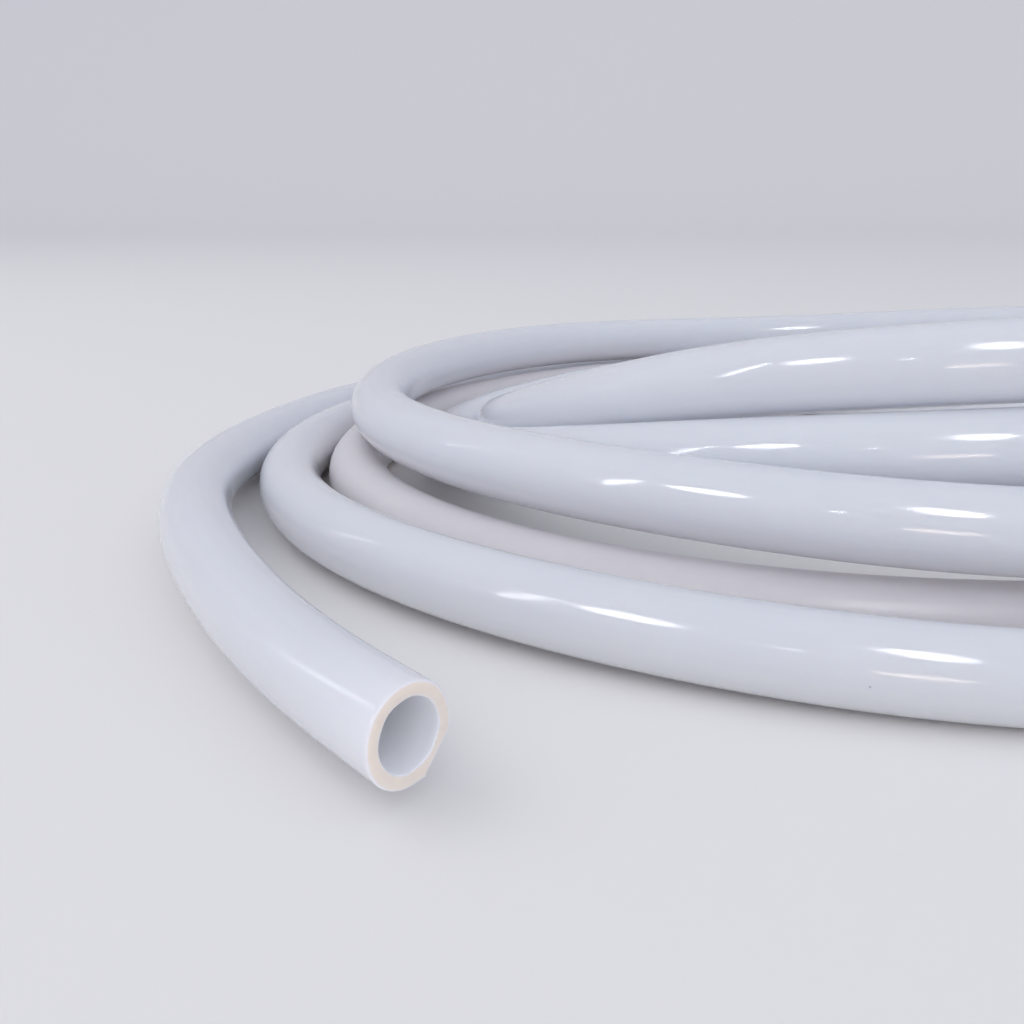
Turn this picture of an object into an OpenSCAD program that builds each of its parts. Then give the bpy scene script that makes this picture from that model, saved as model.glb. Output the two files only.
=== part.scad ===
// Silicone tubing, coiled by hand and lying on a flat surface.
// One length of soft round tubing with a square-cut end at each end.
// Millimetres, +Z up. The tubing rests on the plane z = 0, and the origin
// is on that plane, below the middle of the whole coil.

/* [Tubing] */
// Outside diameter of the tubing
tube_od = 10; // [9:0.5:10]
// Inside diameter of the tubing, its bore
tube_id = 7; // [5:0.5:7]
// Straight length behind each cut end, where a fitting is pushed in
end_len = 9.5; // [6:0.5:12]

/* [Coil] */
// Turns the coil has, counted back from the free outer end
turns = 5.75; // [2.75, 3.75, 5.75]

/* [Sweep] */
// Flat sides round the swept section
sides = 12; // [8, 10, 12]
// Rings of the swept section in each 30 degrees of turn
rings = 3; // [2, 3]

/* [Hidden] */

// The route runs clockwise seen from above, inwards from the free outer end.
// It is drawn in polar form about the coil's axis, with one station every
// 30 degrees. The first station is at 300 degrees, and each row is one lap:
// 300, 270, 240, 210, 180, 150, 120, 90, 60, 30, 0, 330.
// Each number steers a smooth curve (a cubic B-spline), so the tubing passes
// close to it. Adjoining turns are a little over one diameter apart.

// Distance of the tubing's centre from the coil's axis
route_r = [
    135,   167,   133,   120,   111.5, 109.5, 108,   106.5, 105,   104,   103,   102,
    101,   100,    98.5, 103.5, 102,    98,    96,    95.5,  94.5,  93.5,  92,    88.5,
     84.5,  83.5,  86.5,  90.5,  91.5,  87.5,  85,    83.5,  82.5,  83,    84.5,  86.5,
     87.5,  86,    83,    84,    87.5,  89.5,  90.5,  91,    90.5,  89,    87,    84,
     80,    75.5,  73,    73,    74.5,  75.5,  75,    74,    73.5,  74,    75,    75.5,
     75,    72.5,  67.5,  64,    64.5,  65,    64.5,  63.5,  62,    61,    59,    56,
     52,    47
];

// Height of the tubing's centre above where it lies flat on the surface,
// as tenths of a diameter. The outer laps lie flat. The later ones climb over
// each other at the front, and come down again inside the others at the left.
// The inner end lies flat and turns in towards the middle of the coil.
route_z = [
    -20,   13.5, -1,    5,    0,    0,    0,    0,    0,    0,    0,    0,
      0,    0,    1,    1.5,  0,    0,    0,    0,    0,    0,    0,    0,
      0,    0,    0,    0,    0,    0,    0,    1.5,  4,    6.5,  9,   10.5,
     11,   11,   12,   11,   10,   10.5, 10.5,  9.5, 13.5, 18.5, 21,   21,
     20,   19,   15,    7.5,  1,    0,    1.5,  6,   11.5, 17,   22.5, 27,
     29.5, 29,   24.5, 14,    5,    0.5,  0,    0,    0,    0,    0,    0,
      0,    0
];

// Stations at which the curved route starts and ends
u_first = 2.2;
u_last  = floor(turns * 12) + 2;

tube_r = tube_od / 2;
bore_r = tube_id / 2;
wall   = tube_r - bore_r;
// The swept bore's flats lie on the bore's circle
bore_rv = bore_r / cos(180 / sides);

// Cubic B-spline through the numbers in c, at station u
function spline(c, u, i, t) =
    (c[i - 1] * pow(1 - t, 3)
     + c[i] * (3 * pow(t, 3) - 6 * t * t + 4)
     + c[i + 1] * (-3 * pow(t, 3) + 3 * t * t + 3 * t + 1)
     + c[i + 2] * pow(t, 3)) / 6;
function at(c, u) = let (i = floor(u)) spline(c, u, i, u - i);

// Centre of the tubing at station u, with the coil's axis at x = y = 0
function centre(u) =
    let (a = 300 - 30 * u, r = at(route_r, u))
    [r * cos(a), r * sin(a), tube_r + at(route_z, u) * tube_od / 10];
function unit(v) = v / norm(v);
// Direction in which the route runs at station u
function along(u) = unit(centre(u + 0.01) - centre(u - 0.01));

// Centres and directions of the joints between the curve and its straight ends
start_p = centre(u_first);
start_d = along(u_first);
stop_p  = centre(u_last);
stop_d  = along(u_last);
// The swept section reaches this far inside each straight end's wall
lap_in = 1.5;

// One ring of the section: the outer corners and then the inner ones.
// The first outer corner points down, so a lap that lies flat touches z = 0.
function ring(p, d, ro, ri) =
    let (side = unit(cross(d, [0, 0, 1])), up = cross(side, d))
    concat(
        [for (k = [0 : sides - 1]) p + ro * (sin(k * 360 / sides) * side - cos(k * 360 / sides) * up)],
        [for (k = [0 : sides - 1]) p + ri * (sin(k * 360 / sides) * side - cos(k * 360 / sides) * up)]);

// Stations of the full rings between the two straight ends
ring_u = [for (j = [ceil(u_first * rings + 0.3) : floor(u_last * rings - 0.3)]) j / rings];

// A narrower ring starts and ends the sweep inside the straight ends' wall,
// so its surfaces never lie on theirs
ring_list = concat(
    [ring(start_p - lap_in * start_d, start_d, tube_r - 0.07 * wall, bore_rv + 0.09 * wall)],
    [for (u = ring_u) ring(centre(u), along(u), tube_r, bore_rv)],
    [ring(stop_p + lap_in * stop_d, stop_d, tube_r - 0.07 * wall, bore_rv + 0.09 * wall)]);
ring_n = len(ring_list);
sweep_points = [for (r = ring_list) each r];

// Corner numbers: ring i, corner k, outer or inner
function vo(i, k) = i * 2 * sides + (k % sides);
function vi(i, k) = i * 2 * sides + sides + (k % sides);
sweep_faces = concat(
    [for (i = [0 : ring_n - 2], k = [0 : sides - 1]) each [
        [vo(i, k), vo(i + 1, k + 1), vo(i + 1, k)],
        [vo(i, k), vo(i, k + 1), vo(i + 1, k + 1)],
        [vi(i, k), vi(i + 1, k), vi(i + 1, k + 1)],
        [vi(i, k), vi(i + 1, k + 1), vi(i, k + 1)]]],
    [for (k = [0 : sides - 1]) each [
        [vo(0, k), vi(0, k + 1), vo(0, k + 1)],
        [vo(0, k), vi(0, k), vi(0, k + 1)],
        [vo(ring_n - 1, k), vo(ring_n - 1, k + 1), vi(ring_n - 1, k + 1)],
        [vo(ring_n - 1, k), vi(ring_n - 1, k + 1), vi(ring_n - 1, k)]]]);

// How far a straight end's rim reaches along one axis
function rim(d, i) = tube_r * sqrt(max(0, 1 - d[i] * d[i]));
start_face = start_p - end_len * start_d;
stop_face  = stop_p + end_len * stop_d;
function low(i) = min(
    min([for (p = sweep_points) p[i]]),
    start_face[i] - rim(start_d, i), stop_face[i] - rim(stop_d, i),
    start_p[i] - rim(start_d, i), stop_p[i] - rim(stop_d, i));
function high(i) = max(
    max([for (p = sweep_points) p[i]]),
    start_face[i] + rim(start_d, i), stop_face[i] + rim(stop_d, i),
    start_p[i] + rim(start_d, i), stop_p[i] + rim(stop_d, i));
// From the coil's axis to the middle of the whole coil's box
middle = [(low(0) + high(0)) / 2, (low(1) + high(1)) / 2, low(2)];

// Straight round end with a true bore, from p along d
module cut_end(p, d) {
    translate(p)
        rotate([0, acos(d[2]), atan2(d[1], d[0])])
            difference() {
                cylinder(h = end_len, r = tube_r, $fn = 96);
                translate([0, 0, -1]) cylinder(h = end_len + 2, r = bore_r, $fn = 96);
            }
}

// The coiled length between the two ends
module coiled_length() {
    polyhedron(points = sweep_points, faces = sweep_faces, convexity = 12);
}

module tubing() {
    color([0.82, 0.84, 0.89])
        translate(-middle)
            union() {
                coiled_length();
                cut_end(start_p, -start_d);
                cut_end(stop_p, stop_d);
            }
}

tubing();
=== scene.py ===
import bpy, math
import numpy as np
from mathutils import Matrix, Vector


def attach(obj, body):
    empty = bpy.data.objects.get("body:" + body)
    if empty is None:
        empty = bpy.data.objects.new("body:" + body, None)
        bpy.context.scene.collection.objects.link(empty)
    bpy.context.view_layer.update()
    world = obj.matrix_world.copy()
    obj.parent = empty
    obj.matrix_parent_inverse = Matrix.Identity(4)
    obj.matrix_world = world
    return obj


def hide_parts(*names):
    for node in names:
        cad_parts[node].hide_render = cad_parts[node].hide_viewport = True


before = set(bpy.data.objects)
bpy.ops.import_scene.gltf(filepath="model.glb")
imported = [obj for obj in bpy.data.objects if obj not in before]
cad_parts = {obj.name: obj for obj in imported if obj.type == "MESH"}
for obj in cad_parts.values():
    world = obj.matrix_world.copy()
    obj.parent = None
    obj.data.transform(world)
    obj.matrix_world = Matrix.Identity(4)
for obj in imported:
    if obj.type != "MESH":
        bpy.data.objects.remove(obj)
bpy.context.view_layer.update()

# ------------------------------------------------------------------ the route
# The same numbers as part.scad's route, in millimetres: one station every 30
# degrees round the coil's axis, clockwise seen from above, from 300 degrees.
MM = 0.001
OD, BORE, END = 10.0, 7.0, 9.5
ROUTE_R = [
    135,   167,   133,   120,   111.5, 109.5, 108,   106.5, 105,   104,   103,   102,
    101,   100,    98.5, 103.5, 102,    98,    96,    95.5,  94.5,  93.5,  92,    88.5,
     84.5,  83.5,  86.5,  90.5,  91.5,  87.5,  85,    83.5,  82.5,  83,    84.5,  86.5,
     87.5,  86,    83,    84,    87.5,  89.5,  90.5,  91,    90.5,  89,    87,    84,
     80,    75.5,  73,    73,    74.5,  75.5,  75,    74,    73.5,  74,    75,    75.5,
     75,    72.5,  67.5,  64,    64.5,  65,    64.5,  63.5,  62,    61,    59,    56,
     52,    47,
]
ROUTE_Z = [
    -20,   13.5, -1,    5,    0,    0,    0,    0,    0,    0,    0,    0,
      0,    0,    1,    1.5,  0,    0,    0,    0,    0,    0,    0,    0,
      0,    0,    0,    0,    0,    0,    0,    1.5,  4,    6.5,  9,   10.5,
     11,   11,   12,   11,   10,   10.5, 10.5,  9.5, 13.5, 18.5, 21,   21,
     20,   19,   15,    7.5,  1,    0,    1.5,  6,   11.5, 17,   22.5, 27,
     29.5, 29,   24.5, 14,    5,    0.5,  0,    0,    0,    0,    0,    0,
      0,    0,
]
U_FIRST, U_LAST = 2.2, 71.0
# the coil's axis, from the middle of the whole coil's box
AXIS = np.array([4.96677, 3.00545, 0.0])


def spline(c, u):
    c = np.asarray(c, float)
    i = np.clip(np.floor(u).astype(int), 1, len(c) - 3)
    t = u - i
    return (
        c[i - 1] * (1 - t) ** 3
        + c[i] * (3 * t ** 3 - 6 * t ** 2 + 4)
        + c[i + 1] * (-3 * t ** 3 + 3 * t ** 2 + 3 * t + 1)
        + c[i + 2] * t ** 3
    ) / 6


def centre(u):
    a, r = np.radians(300 - 30 * u), spline(ROUTE_R, u)
    return AXIS + np.stack([r * np.cos(a), r * np.sin(a), OD / 2 + spline(ROUTE_Z, u) * OD / 10], 1)


def unit(v):
    return v / np.linalg.norm(v, axis=-1, keepdims=True)


def dense_line():
    """Points every fraction of a millimetre along the whole centreline, outer end first, in mm."""
    u = np.arange(U_FIRST, U_LAST + 1e-9, 1 / 128)
    p = centre(u)
    d0 = unit(centre(np.array([U_FIRST + 0.01])) - centre(np.array([U_FIRST - 0.01])))[0]
    d1 = unit(centre(np.array([U_LAST + 0.01])) - centre(np.array([U_LAST - 0.01])))[0]
    k = np.linspace(0, 1, 40, endpoint=False)[:, None]
    head = p[0] - END * d0 * (1 - k)
    tail = p[-1] + END * d1 * (np.linspace(0, 1, 41)[1:, None])
    return np.concatenate([head, p, tail])


LINE = dense_line()
ARC = np.concatenate([[0], np.cumsum(np.linalg.norm(np.diff(LINE, axis=0), axis=1))])
LENGTH = float(ARC[-1])


def on_line(s):
    return np.stack([np.interp(s, ARC, LINE[:, i]) for i in range(3)], 1)


def along(s):
    return unit(on_line(np.minimum(s + 0.6, LENGTH)) - on_line(np.maximum(s - 0.6, 0)))


# ------------------------------------------------------------------- camera
scene = bpy.context.scene
cam = bpy.data.cameras.new("camera")
cam.lens, cam.sensor_width = 38.67, 36.0
cam.clip_start, cam.clip_end = 0.005, 50
cam_obj = bpy.data.objects.new("camera", cam)
scene.collection.objects.link(cam_obj)
cam_obj.location = ((AXIS[0] - 63.0) * MM, (AXIS[1] - 200.0) * MM, 52.2 * MM)
cam_obj.rotation_euler = (math.radians(90 - 16.32), 0, 0)
scene.camera = cam_obj


# ------------------------------------------------------------- the tube mesh
def ring_frame(s):
    d = along(s)
    side = unit(np.cross(d, [0, 0, 1.0]))
    up = np.cross(side, d)
    return on_line(s), d, side, up


def noise1(x, seed, scale):
    """Smooth value noise along a line, the same on every run."""
    rng = np.random.RandomState(seed)
    v = rng.uniform(-1, 1, 4096)
    x = np.asarray(x) / scale
    i = np.floor(x).astype(int)
    t = x - i
    t = t * t * (3 - 2 * t)
    return v[i % 4096] * (1 - t) + v[(i + 1) % 4096] * t


def tube_mesh(name):
    n_out, n_in, step = 64, 40, 4.0
    n_end = 128
    verts, faces, mats, uvs = [], [], [], []

    def add_ring(s, r, n, shift=None, squeeze=None):
        """One ring of n corners at arc length s and radius r; shift moves each corner along the tube, squeeze inwards, in mm."""
        p, d, side, up = (q[0] for q in ring_frame(np.array([s])))
        a = np.arange(n) * 2 * math.pi / n
        rr = np.full(n, r) if squeeze is None else r - squeeze(a)
        v = p + rr[:, None] * (np.sin(a)[:, None] * side - np.cos(a)[:, None] * up)
        if shift is not None:
            v = v + shift(a)[:, None] * d
        first = len(verts)
        verts.extend(v * MM)
        uvs.extend([(s * MM, k / n) for k in range(n)])
        return first, n

    def join(ra, rb, flip, mat):
        """Faces between two rings; a ring of n may meet one of 2n."""
        (fa, na), (fb, nb) = ra, rb
        if na == nb:
            for k in range(na):
                q = [fa + k, fa + (k + 1) % na, fb + (k + 1) % nb, fb + k]
                faces.append(q[::-1] if flip else q)
                mats.append(mat)
        elif nb == 2 * na:
            for k in range(na):
                a0, a1 = fa + k, fa + (k + 1) % na
                b0, b1, b2 = fb + 2 * k, fb + 2 * k + 1, fb + (2 * k + 2) % nb
                for q in ([a0, b1, b0], [a0, a1, b1], [a1, b2, b1]):
                    faces.append(q[::-1] if flip else q)
                    mats.append(mat)
        elif na == 2 * nb:
            join(rb, ra, not flip, mat)
        else:
            raise ValueError("rings don't match")

    R, B = OD / 2, BORE / 2
    # the outer end's cut: a knife left it some degrees out of square, with a
    # flat low on the right of the rim, and a tooth where the blade broke through
    SLANT = 0.2
    FLAT, HALF, TOOTH = math.radians(48), math.radians(28), math.radians(20)

    def turned(a, a0):
        return (a - a0 + math.pi) % (2 * math.pi) - math.pi

    def flat(a):
        """How far the flat lies inside the round, in mm."""
        d = np.clip(np.abs(turned(a, FLAT)), 0, HALF)
        return R * (1 - math.cos(HALF) / np.cos(d))

    def tooth(a, width):
        return np.exp(-((turned(a, TOOTH) / width) ** 2))

    def cut_out(a):
        return SLANT * R * np.sin(a) + 0.05 * np.sin(3 * a + 2.0) - 0.08 * tooth(a, 0.07)

    def cut_in(a):
        return SLANT * B * np.sin(a) + 0.05 * np.sin(2 * a + 0.4) + 0.04 * np.sin(7 * a)

    def flat_in(a):
        return 0.9 * flat(a) - 0.10 * tooth(a, 0.06)

    def plain(a):
        return 0.04 * np.sin(a + 2.1)

    body_s = np.linspace(6.0, LENGTH - 3.0, int(round((LENGTH - 9.0) / step)) + 1)

    # outside
    o = [add_ring(0.0, R - 0.22, n_end, cut_out, flat_in)]
    for s, dr in ((0.03, 0.13), (0.10, 0.05), (0.22, 0.0)):
        o.append(add_ring(s, R - dr, n_end, (lambda a, f=1 - s / 6.0: f * cut_out(a)), (lambda a, f=math.exp(-s / 0.8): f * flat_in(a))))
    for s in (0.55, 1.1, 2.0, 3.2):
        o.append(add_ring(s, R, n_end, (lambda a, f=1 - s / 6.0: f * cut_out(a)), (lambda a, f=math.exp(-s / 0.8): f * flat_in(a))))
    for s in body_s:
        o.append(add_ring(s, R, n_out))
    for s, dr in ((LENGTH - 0.22, 0.0), (LENGTH - 0.10, 0.05), (LENGTH - 0.03, 0.13), (LENGTH, 0.22)):
        o.append(add_ring(s, R - dr, n_out, plain if dr > 0.1 else None))
    edge = len(o) - 4
    for k, (a, b) in enumerate(zip(o, o[1:])):
        join(a, b, False, 3 if k < 2 or k > edge else 0)
    # bore, with the same rings but fewer corners
    n_in_end = 2 * n_in
    i_ = [add_ring(0.0, B + 0.10, n_in_end, cut_in)]
    for s, dr in ((0.04, 0.03), (0.14, 0.0), (0.6, 0.0), (1.4, 0.0), (3.0, 0.0)):
        i_.append(add_ring(s, B + dr, n_in_end, (lambda a, f=1 - s / 6.0: f * cut_in(a))))
    for s in body_s:
        i_.append(add_ring(s, B, n_in))
    for s, dr in ((LENGTH - 0.14, 0.0), (LENGTH - 0.04, 0.03), (LENGTH, 0.10)):
        i_.append(add_ring(s, B + dr, n_in, plain if dr > 0.05 else None))
    edge = len(i_) - 3
    for k, (a, b) in enumerate(zip(i_, i_[1:])):
        join(a, b, True, 3 if k < 1 or k > edge else 1)

    # the two cut faces: rings of the wall, from the rim to the mouth
    def face(s, rim, mouth, n, shift_o, shift_i, flip):
        """The wall's cut face between the rim ring (n corners) and the mouth ring."""
        rings = [rim]
        for f in (0.25, 0.5, 0.75):
            r = (R - 0.22) * (1 - f) + (B + 0.10) * f
            rings.append(add_ring(s, r, n, (lambda a, f=f: (1 - f) * shift_o(a) + f * shift_i(a)), (lambda a, f=f: (1 - f) ** 2 * flat_in(a)) if s == 0.0 else None))
        for a, b in zip(rings, rings[1:]):
            join(a, b, flip, 2)
        # the mouth ring has another count: fan it by angle
        (fa, na), (fb, nb) = rings[-1], mouth
        ia = ib = 0
        while ia < na or ib < nb:
            take_a = ib >= nb or (ia < na and (ia + 1) / na <= (ib + 1) / nb + 1e-12)
            if take_a:
                q = [fa + ia % na, fa + (ia + 1) % na, fb + ib % nb]
                ia += 1
            else:
                q = [fa + ia % na, fb + (ib + 1) % nb, fb + ib % nb]
                ib += 1
            faces.append(q[::-1] if flip else q)
            mats.append(2)

    face(0.0, o[0], i_[0], n_end, cut_out, cut_in, True)
    face(LENGTH, o[-1], i_[-1], n_out, plain, plain, False)

    faces = [f[::-1] for f in faces]  # all of them face out of the rubber
    me = bpy.data.meshes.new(name)
    me.from_pydata([tuple(v) for v in verts], [], faces)
    me.validate()
    me.polygons.foreach_set("material_index", mats)
    me.polygons.foreach_set("use_smooth", [m != 2 for m in mats])
    uv = me.uv_layers.new(name="along")
    idx = np.empty(len(me.loops), int)
    me.loops.foreach_get("vertex_index", idx)
    uvs = np.array(uvs)[idx]
    # close the seam: a face that spans it counts on past 1
    starts = np.empty(len(me.polygons), int)
    totals = np.empty(len(me.polygons), int)
    me.polygons.foreach_get("loop_start", starts)
    me.polygons.foreach_get("loop_total", totals)
    for s, t in zip(starts, totals):
        v = uvs[s : s + t, 1]
        if v.max() - v.min() > 0.5:
            v[v < 0.5] += 1.0
    uv.data.foreach_set("uv", uvs.ravel())
    me.update()
    return me


mesh = tube_mesh("tubing_body")
tube = bpy.data.objects.new("silicone_tubing", mesh)
scene.collection.objects.link(tube)

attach(tube, "root")
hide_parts("tubing")


# ----------------------------------------------------------------- materials
def new_material(name):
    m = bpy.data.materials.new(name)
    m.use_nodes = True
    t = m.node_tree
    t.nodes.clear()
    out = t.nodes.new("ShaderNodeOutputMaterial")
    bsdf = t.nodes.new("ShaderNodeBsdfPrincipled")
    t.links.new(bsdf.outputs[0], out.inputs[0])
    return m, t, bsdf


def silicone(name, low, high, rough, sss=1.0, scale=0.004, bump=1.0, transmission=0.0, painted_shade_and_dirt=False):
    m, t, b = new_material(name)
    N, L = t.nodes.new, t.links.new
    uv = N("ShaderNodeUVMap"); uv.uv_map = "along"
    geo = N("ShaderNodeTexCoord")
    # faint clouding of the rubber, some millimetres across
    cloud = N("ShaderNodeTexNoise")
    cloud.inputs["Scale"].default_value = 55
    cloud.inputs["Detail"].default_value = 3
    L(geo.outputs["Object"], cloud.inputs["Vector"])
    # die lines run along the tubing
    stretch = N("ShaderNodeMapping")
    stretch.inputs["Scale"].default_value = (6.0, 26.0, 1.0)
    L(uv.outputs["UV"], stretch.inputs["Vector"])
    die = N("ShaderNodeTexNoise")
    die.inputs["Scale"].default_value = 1.0
    die.inputs["Detail"].default_value = 2
    L(stretch.outputs[0], die.inputs["Vector"])
    mix = N("ShaderNodeMix"); mix.data_type = "FLOAT"
    mix.inputs["Factor"].default_value = 0.4
    L(cloud.outputs["Fac"], mix.inputs["A"])
    L(die.outputs["Fac"], mix.inputs["B"])
    ramp = N("ShaderNodeValToRGB")
    ramp.color_ramp.elements[0].position = 0.3
    ramp.color_ramp.elements[1].position = 0.7
    ramp.color_ramp.elements[0].color = (*low, 1)
    ramp.color_ramp.elements[1].color = (*high, 1)
    L(mix.outputs["Result"], ramp.inputs[0])
    colour = ramp.outputs[0]
    # fingerprints and dust take the edge off the gloss here and there
    smear = N("ShaderNodeTexNoise")
    smear.inputs["Scale"].default_value = 140
    smear.inputs["Detail"].default_value = 4
    L(geo.outputs["Object"], smear.inputs["Vector"])
    rr = N("ShaderNodeMapRange")
    rr.inputs["From Min"].default_value = 0.35
    rr.inputs["From Max"].default_value = 0.75
    rr.inputs["To Min"].default_value = rough
    rr.inputs["To Max"].default_value = rough + 0.10
    L(smear.outputs["Fac"], rr.inputs["Value"])
    gloss = rr.outputs[0]
    if painted_shade_and_dirt:
        # painted shade: one stretch, low in the coil and under the turn above, is painted a little darker and warmer
        # than the rest, and its gloss is a little duller
        split = N("ShaderNodeSeparateXYZ")
        L(uv.outputs["UV"], split.inputs[0])
        ends = []
        for v0, v1, t0, t1 in ((PAINTED_SHADE_STRETCH[0] - 0.03, PAINTED_SHADE_STRETCH[0], 0, 1), (PAINTED_SHADE_STRETCH[1], PAINTED_SHADE_STRETCH[1] + 0.03, 1, 0)):
            e = N("ShaderNodeMapRange")
            e.interpolation_type = "SMOOTHSTEP"
            for k, v in zip(("From Min", "From Max", "To Min", "To Max"), (v0, v1, t0, t1)):
                e.inputs[k].default_value = v
            L(split.outputs[0], e.inputs["Value"])
            ends.append(e.outputs[0])
        painted_shade_mask = N("ShaderNodeMath"); painted_shade_mask.operation = "MULTIPLY"
        L(ends[0], painted_shade_mask.inputs[0]); L(ends[1], painted_shade_mask.inputs[1])
        # painted shade: the stretch's colour is multiplied by a warm grey
        painted_shade = N("ShaderNodeMix"); painted_shade.data_type = "RGBA"; painted_shade.blend_type = "MULTIPLY"
        L(painted_shade_mask.outputs[0], painted_shade.inputs[0]); L(colour, painted_shade.inputs[6])
        painted_shade.inputs[7].default_value = (0.94, 0.86, 0.79, 1)
        more = N("ShaderNodeMath"); more.operation = "MULTIPLY_ADD"
        L(painted_shade_mask.outputs[0], more.inputs[0]); more.inputs[1].default_value = 0.24; L(gloss, more.inputs[2])
        # and one speck of dirt sits on the outermost turn, in front
        far = N("ShaderNodeVectorMath"); far.operation = "DISTANCE"
        L(geo.outputs["Object"], far.inputs[0])
        far.inputs[1].default_value = (-0.02268, -0.09760, 0.00509)
        dot = N("ShaderNodeMapRange")
        for k, v in zip(("From Min", "From Max", "To Min", "To Max"), (0.00006, 0.00016, 0.6, 0.0)):
            dot.inputs[k].default_value = v
        L(far.outputs["Value"], dot.inputs["Value"])
        dirt = N("ShaderNodeMix"); dirt.data_type = "RGBA"
        L(dot.outputs[0], dirt.inputs[0]); L(painted_shade.outputs[2], dirt.inputs[6])
        dirt.inputs[7].default_value = (0.16, 0.15, 0.16, 1)
        colour, gloss = dirt.outputs[2], more.outputs[0]
    L(colour, b.inputs["Base Color"])
    L(gloss, b.inputs["Roughness"])
    # very shallow waviness along the tube plus a fine skin
    fine = N("ShaderNodeTexNoise")
    fine.inputs["Scale"].default_value = 900
    fine.inputs["Detail"].default_value = 2
    L(geo.outputs["Object"], fine.inputs["Vector"])
    b1 = N("ShaderNodeBump")
    b1.inputs["Strength"].default_value = 0.02 * bump
    b1.inputs["Distance"].default_value = 0.0002
    L(fine.outputs["Fac"], b1.inputs["Height"])
    b2 = N("ShaderNodeBump")
    b2.inputs["Strength"].default_value = 0.10 * bump
    b2.inputs["Distance"].default_value = 0.0002
    L(die.outputs["Fac"], b2.inputs["Height"])
    L(b1.outputs[0], b2.inputs["Normal"])
    L(b2.outputs[0], b.inputs["Normal"])
    b.inputs["IOR"].default_value = 1.41
    b.inputs["Subsurface Weight"].default_value = sss
    b.inputs["Subsurface Radius"].default_value = (1.0, 0.92, 0.86)
    b.inputs["Subsurface Scale"].default_value = scale
    b.inputs["Transmission Weight"].default_value = transmission
    return m


def station(u):
    """Distance along the tubing, in metres, of the route's station u."""
    return float(ARC[np.linalg.norm(LINE - centre(np.array([u]))[0], axis=1).argmin()]) * MM


# where the painted shade starts and ends, in metres along the tubing
PAINTED_SHADE_STRETCH = (station(23.6), station(30.2))
outside = silicone("silicone_outside", (0.865, 0.875, 0.945), (0.915, 0.92, 0.975), 0.07, scale=0.004, transmission=0.14, painted_shade_and_dirt=True)
# painted light: the bore is a whiter copy of the rubber with no scattering, standing in for the light that comes in
# through the milky wall
inside = silicone("silicone_bore", (0.95, 0.96, 0.98), (0.98, 0.985, 0.995), 0.30, sss=0.0)
# painted shade and light: the cut faces are a darker, warmer copy of the rubber for the warm light that comes through
# its thickness, and the rim round them is painted darker than the outside to tone down its bright edge
cut = silicone("silicone_cut", (0.80, 0.71, 0.63), (0.85, 0.76, 0.67), 0.38, scale=0.002, bump=2.0)
rim = silicone("silicone_rim", (0.78, 0.75, 0.77), (0.82, 0.79, 0.81), 0.30, scale=0.002)
for m in (outside, inside, cut, rim):
    mesh.materials.append(m)

# --------------------------------------------------------------------- stage
def stage_floor():
    """A pale floor that turns up into a pale wall well behind the coil."""
    prof = [(-2.5, 0.0), (1.2, 0.0)]
    for k in range(1, 13):
        a = math.radians(90 * k / 12)
        prof.append((1.2 + 0.8 * math.sin(a), 0.8 - 0.8 * math.cos(a)))
    prof.append((2.0, 3.5))
    v, f = [], []
    for y, z in prof:
        v += [(-4, y, z), (4, y, z)]
    for k in range(len(prof) - 1):
        f.append((2 * k, 2 * k + 1, 2 * k + 3, 2 * k + 2))
    me = bpy.data.meshes.new("floor")
    me.from_pydata(v, [], f)
    me.polygons.foreach_set("use_smooth", [True] * len(f))
    o = bpy.data.objects.new("floor", me)
    scene.collection.objects.link(o)
    m, t, b = new_material("floor")
    b.inputs["Base Color"].default_value = (0.82, 0.80, 0.765, 1)
    b.inputs["Roughness"].default_value = 0.9
    me.materials.append(m)
    return o


floor = stage_floor()

# -------------------------------------------------------------------- lights
TARGET = Vector((0.0, -0.08, 0.01))


def softbox(name, az, el, dist, w, h, radiance, colour=(1, 1, 1), seen_in="gloss"):
    """An oval light seen from the coil in the compass direction az (0 is +Y, 90 is +X) at height el, facing the coil.

    A light seen in the gloss is only a reflection; one that isn't only fills."""
    L = bpy.data.lights.new(name, "AREA")
    L.shape, L.size, L.size_y, L.color = "ELLIPSE", w, h, colour
    L.energy = radiance * math.pi * (math.pi / 4 * w * h)
    o = bpy.data.objects.new(name, L)
    scene.collection.objects.link(o)
    o.visible_diffuse = seen_in == "fill"
    o.visible_glossy = seen_in == "gloss"
    a, e = math.radians(az), math.radians(el)
    d = Vector((math.sin(a) * math.cos(e), math.cos(a) * math.cos(e), math.sin(e)))
    o.location = TARGET + d * dist
    o.rotation_euler = d.to_track_quat("Z", "Y").to_euler()
    return o


# small bright lamps for the crisp highlights
softbox("lamp_left", -111, 26, 1.1, 0.065, 0.50, 18)
softbox("lamp_left_long", -127, 37, 1.1, 0.27, 0.25, 18)
softbox("lamp_front", 179, 52, 1.1, 0.22, 0.36, 18)
softbox("lamp_small", -155, 29, 1.1, 0.06, 0.10, 14)
softbox("bounce_card", -174, 3, 1.0, 0.26, 0.14, 9, (1.0, 0.79, 0.66))
# a faint strip that draws a line along the free end
softbox("lamp_line", -69, 23, 1.1, 0.05, 0.36, 3.0)
# two broad faint ones near the camera even out the shading
softbox("fill_front", 180, 26, 1.0, 1.0, 0.6, 1.1, (1.0, 0.98, 0.95), "fill")
softbox("fill_left", -85, 48, 1.0, 1.0, 0.6, 1.0, (1.0, 0.98, 0.95), "fill")

world = bpy.data.worlds.new("studio")
scene.world = world
world.use_nodes = True
bg = world.node_tree.nodes["Background"]
bg.inputs[0].default_value = (0.87, 0.905, 1.05, 1)
bg.inputs[1].default_value = 0.82

scene.view_settings.view_transform = "Standard"
scene.view_settings.look = "None"
# the light that goes round inside the bore and between the strands
scene.cycles.max_bounces = 8
scene.cycles.diffuse_bounces = 6
